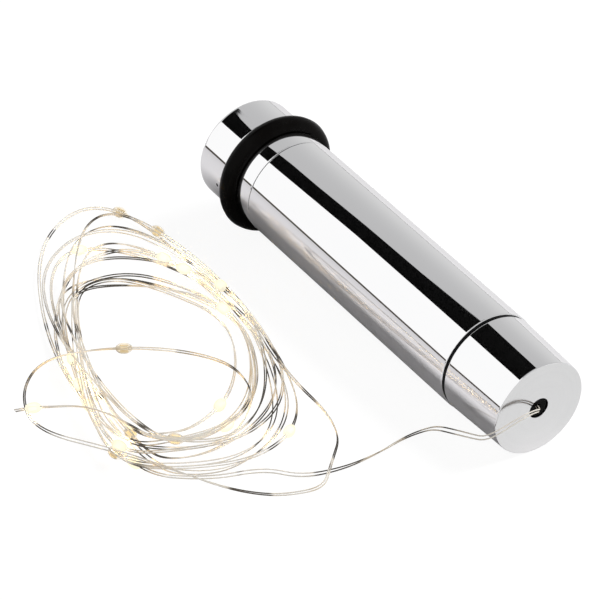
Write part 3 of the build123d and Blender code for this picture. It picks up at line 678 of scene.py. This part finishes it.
def closing(tree, geometry, material):
    """Ends a tree: instances become real, the material is set, and it goes out."""
    real = tree.node("GeometryNodeRealizeInstances", None, {"Geometry": geometry})
    dressed = tree.node("GeometryNodeSetMaterial", None, {"Geometry": real, "Material": material})
    end = tree.tree.nodes.new("NodeGroupOutput")
    tree.feed(end, "Geometry", dressed)


def wire_tree():
    tree, given = geometry_tree("draw_wire", [
        ("Radius", "Float"), ("Sides", "Int"), ("Finish", "Material"),
    ])
    line = tree.node("GeometryNodeMeshToCurve", None, {"Mesh": given["Geometry"]})
    circle = {"Resolution": given["Sides"], "Radius": given["Radius"]}
    section = tree.node("GeometryNodeCurvePrimitiveCircle", None, circle)
    drawn = {"Curve": line, "Profile Curve": section, "Fill Caps": True}
    solid = tree.node("GeometryNodeCurveToMesh", None, drawn)
    smoothed = {"Geometry": solid, "Shade Smooth": True}
    closing(tree, tree.node("GeometryNodeSetShadeSmooth", None, smoothed), given["Finish"])
    return tree.tree


DRAW_WIRE = wire_tree()
print("wire-drawing tree with", len(DRAW_WIRE.nodes), "nodes")


# %% Running a tree on a mesh
def grown(name, mesh, group, **values):
    """Runs a tree on a mesh and returns the result as a plain object."""
    holder = linked(name + "_seed", mesh)
    modifier = holder.modifiers.new("nodes", "NODES")
    modifier.node_group = group
    for item in group.interface.items_tree:
        if item.item_type == "SOCKET" and item.in_out == "INPUT" and item.name in values:
            modifier[item.identifier] = values[item.name]
    made = plain_mesh(holder)
    made.name = name
    print(name, len(made.polygons), "faces")
    return linked(name, made)


def rows_of_points(lines):
    """A mesh of bare edges, one row for each line."""
    vertices = [tuple(point) for line in lines for point in line]
    edges = []
    start = 0
    for line in lines:
        edges += [(start + number, start + number + 1) for number in range(len(line) - 1)]
        start += len(line)
    return mesh_of("rows", vertices, edges, [])


print("trees can be run")

# %% [markdown]
# ## Lacquered strands
# The wire is a pair of fine lacquered strands that run side by side and turn round each other
# slowly. A frame that is carried along the line without twisting says which way is sideways,
# and a slow wave turns the pair and lets the strands part a little here and there.

# %% The two strands
def carried_frames(line):
    """The line's ways, and a sideways direction carried along without twist."""
    ways = np.gradient(line, axis=0)
    ways /= np.linalg.norm(ways, axis=1, keepdims=True)
    side = np.cross(ways[0], (0, 0, 1))
    sides = []
    for here in ways:
        side = side - here * side.dot(here)
        side /= np.linalg.norm(side)
        sides.append(side)
    sides = np.array(sides)
    return ways, sides, np.cross(ways, sides)


WIRE_WAYS, WIRE_SIDE, WIRE_OVER = carried_frames(WIRE_LINE)
STRAND_RADIUS = 0.11
STRAND_APART = 0.18
STRAND_PARTING = 0.2
FLOOR_GAP = 0.02


def strand_lines():
    """The middle lines of both strands, kept above the floor."""
    at = WIRE_AT * 1000
    turn = at * 0.055 + 1.1 * np.sin(at * 0.031) + 0.9 * np.sin(at * 0.0123 + 2.0)
    wave = np.clip(np.sin(at * 0.043) * np.sin(at * 0.0171 + 1.0), 0, 1)
    apart = STRAND_APART + STRAND_PARTING * wave
    across = WIRE_SIDE * np.cos(turn)[:, None] + WIRE_OVER * np.sin(turn)[:, None]
    offset = across * apart[:, None] * MM
    lowest = WIRE_LINE[:, 2] - np.abs(offset[:, 2])
    lift = np.maximum(0, (STRAND_RADIUS + FLOOR_GAP) * MM - lowest)
    middle = WIRE_LINE + np.array((0, 0, 1)) * lift[:, None]
    return [middle + offset, middle - offset]


STRAND_LINES = strand_lines()
print("strands lie", STRAND_APART, "to", STRAND_APART + STRAND_PARTING, "mm off the wire's line")


# %% Lacquer, and the strands drawn
def lacquered(name):
    material, tree, shader = finish(name, coat_weight=0.3, coat_roughness=0.04)
    place = tree.object_place()
    cloud = tree.noise(place, 90.0, 3.0, 0.6)
    speck = tree.noise(place, 900.0)
    # painted reflection: dark, more metallic stretches stand in for dark things that the wire
    # mirrors
    painted_dark_reflection = tree.noise(place, 85.0, 2.0, 0.7, stretch=(1.0, 1.0, 0.4)).ramp(0.53, 0.60)
    bright = tree.mix(cloud.ramp(0.45, 0.7), (0.93, 0.88, 0.79), (0.74, 0.60, 0.41))
    tree.feed(shader, "Base Color", tree.mix(painted_dark_reflection, bright, (0.10, 0.085, 0.065)))
    tree.feed(shader, "Metallic", 0.35 + painted_dark_reflection * 0.65)
    tree.feed(shader, "Roughness", 0.08 + speck * 0.14)
    return material


WIRE_FINISH = lacquered("lacquered_wire")
strands = grown("wire_pair", rows_of_points(STRAND_LINES), DRAW_WIRE,
                Radius=STRAND_RADIUS * MM, Sides=8, Finish=WIRE_FINISH)

# %% [markdown]
# ## Drops of light
# Each light point is a tiny chip soldered across the two strands and sealed in a drop of
# clear resin. Twenty are set, at roughly even spacing. A tree puts a drop on each place, lines
# it up with the wire there and varies its size with a fixed seed. How brightly it glows
# depends on which way its chip faces, and that is kept as an attribute for the material.

# %% Places of the drops
# How far each drop lies from its even place along the wire, in millimetres, and its glow.
LED_SHIFTS = (-16, -30, 32, 28, 37, -21, -4, 37, -40, -19, -4, -16, -43, 22, 8, 26, -10, -11, 26, 0)
LED_GLOW = (1, 0.05, 1, 0.12, 1, 1, 1, 0.05, 1, 1, 0.08, 0.9, 1, 0.9, 1, 1, 0.12, 0.9, 0.05, 1)
END_STUB = 3.2
DROP_WIDTH = 1.86
DROP_LENGTH = 2.9
ALL = range(1, len(LED_SHIFTS) + 1)
LIT = [number for number in ALL if LED_GLOW[number - 1] > 0.6]
CLEAR = [number for number in ALL if number not in LIT]
print(len(LIT), "drops glow and", len(CLEAR), "are clear")


def drop_places(numbers):
    """A mesh of bare points with the wire's way and the chip's facing at each."""
    pitch = (WIRE_AT[-1] * 1000 - END_STUB) / len(LED_SHIFTS)
    vertices, ways, facings = [], [], []
    for number in numbers:
        at = (number * pitch + LED_SHIFTS[number - 1]) * MM
        x, y, z = (np.interp(at, WIRE_AT, WIRE_LINE[:, axis]) for axis in range(3))
        vertices.append((x, y, max(z, DROP_WIDTH / 2 * 1.03 * MM)))
        heading = Vector([np.interp(at, WIRE_AT, WIRE_WAYS[:, axis]) for axis in range(3)])
        ways.append(heading.normalized())
        up = 1 if number in LIT else -0.6
        facings.append((0.35 * up, -0.35 * up, 0.87 * up))
    mesh = mesh_of("drop_places", vertices, [], [])
    for name, rows in (("way", ways), ("facing", facings)):
        attribute = mesh.attributes.new(name, "FLOAT_VECTOR", "POINT")
        attribute.data.foreach_set("vector", [value for row in rows for value in row])
    attribute = mesh.attributes.new("glow", "FLOAT", "POINT")
    attribute.data.foreach_set("value", [LED_GLOW[number - 1] for number in numbers])
    return mesh


# %% A drop and a chip, one unit in size
def unit_drop(steps=10, segments=20):
    """A drop of resin one unit long and one unit across, along Z."""
    vertices = [(0, 0, -0.5)]
    for step in range(1, steps):
        height = -0.5 * math.cos(math.pi * step / steps)
        reach = 0.5 * (1 - abs(2 * height) ** 2.3) ** 0.55
        for segment in range(segments):
            angle = math.tau * segment / segments
            vertices.append((reach * math.cos(angle), reach * math.sin(angle), height))
    vertices.append((0, 0, 0.5))
    faces = []
    last = len(vertices) - 1
    for segment in range(segments):
        follow = (segment + 1) % segments
        faces.append((0, 1 + follow, 1 + segment))
        faces.append((last, last - segments + segment, last - segments + follow))
        for step in range(steps - 2):
            low = 1 + step * segments
            high = low + segments
            faces.append((low + segment, low + follow, high + follow, high + segment))
    return bpy.data.objects.new("unit_drop", shaded(mesh_of("unit_drop", vertices, [], faces), 80))


def unit_chip():
    """A chip one unit long, wide and high, sitting on +X, with eased edges."""
    ease = 0.12
    vertices, faces = [], []
    for height, inset in ((0, ease), (0.25, 0), (0.8, 0), (1.0, ease)):
        half = 0.5 - inset
        corners = ((-half, -half), (half, -half), (half, half), (-half, half))
        vertices += [(height, y, z) for y, z in corners]
    for level in range(3):
        low = level * 4
        for side in range(4):
            follow = (side + 1) % 4
            faces.append((low + side, low + follow, low + 4 + follow, low + 4 + side))
    faces += [(3, 2, 1, 0), (12, 13, 14, 15)]
    return bpy.data.objects.new("unit_chip", mesh_of("unit_chip", vertices, [], faces))


DROP = unit_drop()
CHIP = unit_chip()
print("faces of a drop", len(DROP.data.polygons), "and of a chip", len(CHIP.data.polygons))


# %% A tree that sets a form on each place
def setting_tree():
    """Sets a form on each point, along the wire and facing the chip's way."""
    tree, given = geometry_tree("set_on_wire", [
        ("Form", "Object"), ("Size", "Vector"), ("Variation", "Float"), ("Offset", "Float"),
        ("Seed", "Int"), ("Finish", "Material"),
    ])
    points = tree.node("GeometryNodeMeshToPoints", None, {"Mesh": given["Geometry"]})
    vector_of = {"data_type": "FLOAT_VECTOR"}
    way, facing = (tree.node("GeometryNodeInputNamedAttribute", vector_of, {"Name": name})
                   for name in ("way", "facing"))
    along = tree.node("FunctionNodeAlignRotationToVector", {"axis": "Z"}, {"Vector": way})
    rolled = tree.node("FunctionNodeAlignRotationToVector", {"axis": "X", "pivot_axis": "Z"},
                       {"Rotation": along, "Vector": facing})
    # output 4 of Object Info is its geometry, and output 1 of Random Value is its float
    form = tree.node("GeometryNodeObjectInfo", None, {"Object": given["Form"]}, output=4)
    vary = tree.node("FunctionNodeRandomValue", {"data_type": "FLOAT"}, {
        2: 1.0 - given["Variation"], 3: 1.0 + given["Variation"], "Seed": given["Seed"],
    }, output=1)
    scaled = {0: given["Size"], "Scale": vary}
    size = tree.node("ShaderNodeVectorMath", {"operation": "SCALE"}, scaled)
    placed = tree.node("GeometryNodeInstanceOnPoints", None,
                       {"Points": points, "Instance": form, "Rotation": rolled, "Scale": size})
    shift = tree.node("ShaderNodeCombineXYZ", None, {"X": given["Offset"]})
    moved = tree.node("GeometryNodeTranslateInstances", None,
                      {"Instances": placed, "Translation": shift, "Local Space": True})
    closing(tree, moved, given["Finish"])
    return tree.tree


SET_ON_WIRE = setting_tree()
print("drop-setting tree with", len(SET_ON_WIRE.nodes), "nodes")

# %% [markdown]
# ## Resin and glow
# Lit resin is mostly the colour of its light: nearly white in the middle, warmer towards the
# edge where the light has crossed more resin. Layer Weight picks out that edge. The chip
# inside carries phosphor: it is the brightest place of all where it is lit, and tan elsewhere.

# %% Resin and phosphor
def lit_resin(name):
    material, tree, shader = finish(name, roughness=0.12, ior=1.5, transmission_weight=0.2,
                                    emission_strength=0.86)
    glow = tree.node("ShaderNodeAttribute", {"attribute_name": "glow"}, output=2)
    cloud = tree.noise(tree.object_place(), 900.0)
    edge = tree.node("ShaderNodeLayerWeight", None, {"Blend": 0.35}, output=1)
    lit = tree.mix(edge, (1.0, 0.96, 0.80), (1.0, 0.90, 0.64))
    tree.feed(shader, "Emission Color", tree.mix(glow, (0.30, 0.24, 0.14), lit))
    tree.feed(shader, "Base Color", tree.mix(cloud, (0.24, 0.20, 0.12), (0.18, 0.14, 0.07)))
    return material


def clear_resin(name):
    material, tree, shader = finish(name, roughness=0.03, ior=1.5, transmission_weight=1.0,
                                    emission_strength=0.2)
    cloud = tree.noise(tree.object_place(), 900.0)
    tree.feed(shader, "Emission Color", tree.mix(cloud, (0.5, 0.36, 0.15), (0.1, 0.07, 0.03)))
    tree.feed(shader, "Base Color", tree.mix(cloud, (0.92, 0.88, 0.80), (0.74, 0.68, 0.56)))
    return material


def phosphor(name):
    material, tree, shader = finish(name, roughness=0.4, emission_strength=6.0)
    cloud = tree.noise(tree.object_place(), 1600.0)
    tree.feed(shader, "Base Color", tree.mix(cloud, (0.62, 0.53, 0.40), (0.36, 0.28, 0.19)))
    glow = tree.node("ShaderNodeAttribute", {"attribute_name": "glow"}, output=2)
    tree.feed(shader, "Emission Color", tree.mix(glow, (0.004, 0.003, 0.001), (1.0, 0.80, 0.42)))
    return material


LIT_RESIN = lit_resin("lit_resin")
CLEAR_RESIN = clear_resin("clear_resin")
PHOSPHOR = phosphor("phosphor")
print("resin and phosphor", LIT_RESIN.name, CLEAR_RESIN.name, PHOSPHOR.name)

# %% Drops and chips set on the wire
DROP_SIZE = Vector((DROP_WIDTH, DROP_WIDTH, DROP_LENGTH)) * MM
CHIP_SIZE = Vector((0.35, 0.8, 1.1)) * MM
CHIP_OFFSET = 0.33 * MM
drops = grown("lit_drops", drop_places(LIT), SET_ON_WIRE, Form=DROP, Size=DROP_SIZE,
              Variation=0.02, Offset=0.0, Seed=4, Finish=LIT_RESIN)
clear_drops = grown("clear_drops", drop_places(CLEAR), SET_ON_WIRE, Form=DROP, Size=DROP_SIZE,
                    Variation=0.02, Offset=0.0, Seed=9, Finish=CLEAR_RESIN)
chips = grown("light_chips", drop_places(ALL), SET_ON_WIRE, Form=CHIP, Size=CHIP_SIZE,
              Variation=0.0, Offset=CHIP_OFFSET, Seed=4, Finish=PHOSPHOR)

# %% [markdown]
# ## Spring and inner leads
# When the plug is drawn out, the battery spring shows: a cone of round wire whose turns are a
# formula. The two inner leads run from the board to the stop behind the grommet.

# %% Spring and inner leads
def spring_line(turns=4, steps_a_turn=24):
    """A cone of turns, from the contact plate to the cell."""
    points = []
    total = turns * steps_a_turn
    plate, length, wire = 1.7, 5.0, 0.6
    wide, narrow = 5.6, 2.6
    for number in range(total + 1):
        share = number / total
        radius = wide + (narrow - wide) * share
        angle = math.tau * turns * share
        points.append(LAID @ (Vector((
            plate + wire / 2 + (length - wire) * share,
            radius * math.sin(angle),
            -radius * math.cos(angle),
        )) * MM))
    return points


def inner_lead(side):
    """One lead, on the side 1 or -1 of the axis."""
    low, high = 60.4, 64.7
    straight = (high - low) * 0.23
    points = [(low, 0.9), (low + straight, 0.9), (high - straight, 0.35), (high, 0.35)]
    laid = [LAID @ (Vector((x, side * y, 0)) * MM) / MM for x, y in points]
    return line_of(laid, "inner_lead")


spring = grown("coil_spring", rows_of_points([spring_line()]), DRAW_WIRE,
               Radius=0.29 * MM, Sides=12, Finish=NICKEL)
leads = grown("lead_pair", rows_of_points([inner_lead(1), inner_lead(-1)]), DRAW_WIRE,
              Radius=0.19 * MM, Sides=10, Finish=BLACK_PLASTIC)

# %% [markdown]
# ## Finishes of the carried-over pieces
# Pieces whose shape is already right only get a finish. A table says which.

# %% Dressing the frame's own pieces
DRESS = (
    (CHROME, "battery_tube front_cap neck_collar head_shell"),
    (STEEL, "cell_can cell_nub pivot_screw pivot_washer"),
    (NICKEL, "ground_strip positive_contact negative_contact battery_spring ground_tab"),
    (NICKEL, "wiper_contact"),
    (BRASS, "wire_stop live_stud ground_stud"),
    (RUBBER, "sealing_ring wire_grommet"),
    (BLACK_PLASTIC, "board_holder plug_core head_core cell_seal driver_chip diode inner_leads"),
    (SLEEVE_CARD, "insulating_sleeve"),
    (CELL_SLEEVE, "cell_wrap"),
    (BOARD_LACQUER, "driver_board"),
    (FERRITE, "inductor"),
    (CERAMIC, "capacitors"),
    (WIRE_FINISH, "wire_lead wire_coil wire_tail"),
    (LIT_RESIN, "led_beads"),
    (PHOSPHOR, "led_chips"),
)
dressed = [(node, material) for material, names in DRESS for node in names.split()]
for node, material in dressed:
    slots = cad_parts[node].data.materials
    slots.clear()
    slots.append(material)
print("dressed", len(dressed), "of", len(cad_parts))

# %% [markdown]
# ## The studio
# Chrome shows the room round it, and this room is made for the chrome. Mirror rays see a grey
# wall, a bright panel on the camera's side, a black card overhead, and a table whose colour
# carries painted shade and painted light in paler and darker areas. Their tones and the card's
# outline were fitted until the tube showed the photograph's bands. No real studio was measured.
# The camera sees plain white instead.

# %% The world
RAYS = ("Is Camera Ray", "Is Glossy Ray", "Is Transmission Ray")


def tree_by_ray(owner):
    """An emptied tree, and three values that are 1 for the rays of one kind."""
    owner.use_nodes = True
    tree = Tree(owner.node_tree)
    tree.tree.nodes.clear()
    outputs = tree.node("ShaderNodeLightPath").socket.node.outputs
    return tree, [Value(tree, outputs[ray]) for ray in RAYS]


def world_light():
    """White for the camera, the fitted room for mirror and glass rays, soft light for the rest."""
    world = bpy.data.worlds.new("studio")
    scene.world = world
    tree, (seen, glossy, through) = tree_by_ray(world)
    mirrored = glossy.math("MAXIMUM", through)
    _, y, z = tree.split(tree.node("ShaderNodeTexCoord", output=0))
    wall = tree.mix(z.ramp(0.0, 0.8), (0.68, 0.68, 0.68), (0.52, 0.52, 0.525))
    panel = tree.mix(y.ramp(-0.30, -0.22), (1.02, 1.02, 1.02), wall)
    # below the horizon it is dark, which shows as a line beyond the table's edge
    room = tree.mix(z.ramp(-0.004, 0.004), (0.08, 0.068, 0.06), panel)
    reflected = tree.node("ShaderNodeBackground", None, {"Color": room})
    soft = tree.node("ShaderNodeBackground", None, {"Color": (1, 1, 1, 1), "Strength": 0.23})
    white = tree.node("ShaderNodeBackground", None, {"Color": (1, 1, 1, 1)})
    lit = tree.node("ShaderNodeMixShader", None, {0: mirrored, 1: soft, 2: reflected})
    both = tree.node("ShaderNodeMixShader", None, {0: seen, 1: lit, 2: white})
    tree.feed(tree.tree.nodes.new("ShaderNodeOutputWorld"), "Surface", both)


world_light()
print("world", scene.world.name)


# %% Stage pieces
def hide_from(piece, *rays):
    """Hides a piece or a lamp from kinds of rays."""
    for ray in rays:
        setattr(piece, "visible_" + ray, False)


def stage_piece(name, vertices, material):
    """A flat sheet that is no part of the light."""
    mesh = mesh_of(name, vertices, [], [tuple(range(len(vertices)))])
    mesh.materials.append(material)
    piece = linked(name, mesh)
    return piece


print("stage pieces can be made")


# %% Table
def floor_finish():
    """White with a faint shadow for the camera, painted shade and light by place for other rays."""
    material = bpy.data.materials.new("table")
    tree, (direct, _, through) = tree_by_ray(material)
    seen = direct.math("MAXIMUM", through)
    x, y, _ = tree.split(tree.object_place())
    # painted shade on top of the real shadow: darker under the tube, mostly at its head end;
    # painted light: paler beyond it and past its cap
    painted_shade = tree.mix(x.ramp(-0.056, -0.036), (0.58, 0.57, 0.58), (0.67, 0.66, 0.67))
    painted_shade = tree.mix(x.ramp(0.005, 0.030), painted_shade, (0.75, 0.74, 0.75))
    painted_tone = tree.mix(y.ramp(-0.026, -0.002), (0.80, 0.785, 0.80), painted_shade)
    painted_tone = tree.mix(y.ramp(0.011, 0.015), painted_tone, (0.80, 0.79, 0.80))
    painted_tone = tree.mix(x.ramp(0.040, 0.046), painted_tone, (0.73, 0.73, 0.735))
    # the table as the other rays see it, with its painted shade and painted light
    pale = tree.node("ShaderNodeBsdfDiffuse", None, {"Color": painted_tone})
    faint = tree.node("ShaderNodeBsdfDiffuse", None, {"Color": (0.14, 0.14, 0.14, 1)})
    white = tree.node("ShaderNodeEmission", None, {"Color": (1, 1, 1, 1), "Strength": 0.925})
    clean = tree.node("ShaderNodeAddShader", None, {0: faint, 1: white})
    both = tree.node("ShaderNodeMixShader", None, {0: seen, 1: pale, 2: clean})
    tree.feed(tree.tree.nodes.new("ShaderNodeOutputMaterial"), "Surface", both)
    return material


FLOOR_REACH = 4.0
FLOOR_EDGE = -0.21
stage_piece("table_top", [
    (-FLOOR_REACH, FLOOR_EDGE, 0), (FLOOR_REACH, FLOOR_EDGE, 0),
    (FLOOR_REACH, FLOOR_REACH, 0), (-FLOOR_REACH, FLOOR_REACH, 0),
], floor_finish())
print("table ends", -FLOOR_EDGE, "m in front of the light")

# %% Black card
CARD_HEIGHT = 0.4
CARD_OUTLINE = (
    (-0.150, -0.150), (-0.150, 0.165), (-0.256, 0.165), (-0.272, 0.102), (-0.287, 0.067),
    (-0.311, 0.048), (-0.332, 0.013), (-0.346, 0.002), (-0.357, -0.026), (-0.366, -0.024),
    (-0.372, -0.008), (-0.3742, 0.013), (-0.377, 0.053), (-0.384, 0.088), (-0.394, 0.092),
    (-0.390, 0.053), (-0.387, 0.013), (-0.389, -0.026), (-0.395, -0.066), (-0.404, -0.108),
    (-0.417, -0.152), (-0.433, -0.195), (-0.442, -0.222), (-0.438, -0.238), (-0.428, -0.236),
    (-0.416, -0.221), (-0.405, -0.213), (-0.393, -0.206), (-0.368, -0.184), (-0.333, -0.153),
    (-0.300, -0.150),
)
CARD_BLACK = finish("black_card", roughness=1.0, base_color=(0.008, 0.008, 0.008),
                    specular_ior_level=0)[0]
card = stage_piece("black_card", [(x, y, CARD_HEIGHT) for x, y in CARD_OUTLINE], CARD_BLACK)
hide_from(card, "camera", "diffuse", "shadow", "transmission")
print("card with", len(CARD_OUTLINE), "corners")

# %% [markdown]
# ## The wire in the mirror
# The chrome's end face shows the lead that comes out of it. The wires, drops and chips are
# hidden from mirror rays, because with them the chrome showed glints and a loop that the
# photograph doesn't have. A brown copy of the lead's first stretch, a stage piece, stands in.

# %% Lead in the mirror
MIRRORED_LENGTH = 0.017


def mirrored_lead():
    """A brown copy of the lead's first stretch, for mirror rays alone."""
    near = WIRE_AT < MIRRORED_LENGTH
    brown = moulded("mirrored_wire", (0.20, 0.13, 0.08), 0.4, 0.01, 0.2)
    lead = grown("mirrored_lead", rows_of_points([line[near] for line in STRAND_LINES]), DRAW_WIRE,
                 Radius=STRAND_RADIUS * MM, Sides=6, Finish=brown)
    hide_from(lead, "camera", "diffuse", "shadow", "transmission")


mirrored_lead()
for piece in (drops, chips):
    hide_from(piece, "shadow", "diffuse", "glossy")
for piece in (clear_drops, strands):
    hide_from(piece, "glossy")
print("lead in the mirror set")

# %% [markdown]
# ## Lamps
# One large soft lamp gives the faint shadow. Each lit drop has a tiny warm lamp, linked to the
# wires alone, in place of light that would bounce from the glowing drop itself.


# %% Lamps
def hung(light, place):
    """A lamp that neither the camera nor a mirror shows."""
    holder = linked(light.name, light)
    holder.location = place
    hide_from(holder, "glossy", "camera")
    return holder


def key_lamp(place, size, power):
    light = bpy.data.lights.new("key_light", "AREA")
    light.shape = "DISK"
    light.size = size
    light.energy = power
    holder = hung(light, place)
    holder.rotation_mode = "QUATERNION"
    holder.rotation_quaternion = (-Vector(place)).to_track_quat("-Z", "Y")


def light_drops():
    """A small warm lamp in each lit drop, for the wires alone."""
    wires = bpy.data.collections.new("wires_near_drops")
    wires.objects.link(strands)
    for number, vertex in zip(LIT, drop_places(LIT).vertices):
        light = bpy.data.lights.new("drop_light_" + str(number), "POINT")
        light.color = (1.0, 0.74, 0.36)
        light.energy = 0.0026
        light.shadow_soft_size = 0.0008
        hung(light, vertex.co).light_linking.receiver_collection = wires


key_lamp((0.40, 1.00, 1.26), size=0.75, power=27.5)
light_drops()
scene.view_settings.view_transform = "Standard"
print("lamps", 1 + len(LIT))

# %% [markdown]
# ## Which body each piece moves with
# The plug pulls out of the tube with its ring and head, and the head turns on the plug. Each
# piece rides on the body of the plain shape that it replaces.

# %% Riding and replacing
for piece, body, slot, *nodes in (
    (tube, "light_tube", "battery_tube"),
    (cap, "light_tube", "front_cap"),
    (collar, "plug", "neck_collar"),
    (head, "head", "head_shell"),
    (mark, "head", "head_shell"),
    (ring, "plug", "sealing_ring"),
    (grommet, "light_tube", "wire_grommet"),
    (strands, "light_tube", "wire_coil", "wire_lead", "wire_coil", "wire_tail"),
    (drops, "light_tube", "led_beads"),
    (clear_drops, "light_tube", "led_beads"),
    (chips, "light_tube", "led_chips"),
    (spring, "plug", "battery_spring"),
    (leads, "light_tube", "inner_leads"),
):
    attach(piece, body)
    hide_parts(*(nodes or [slot]))
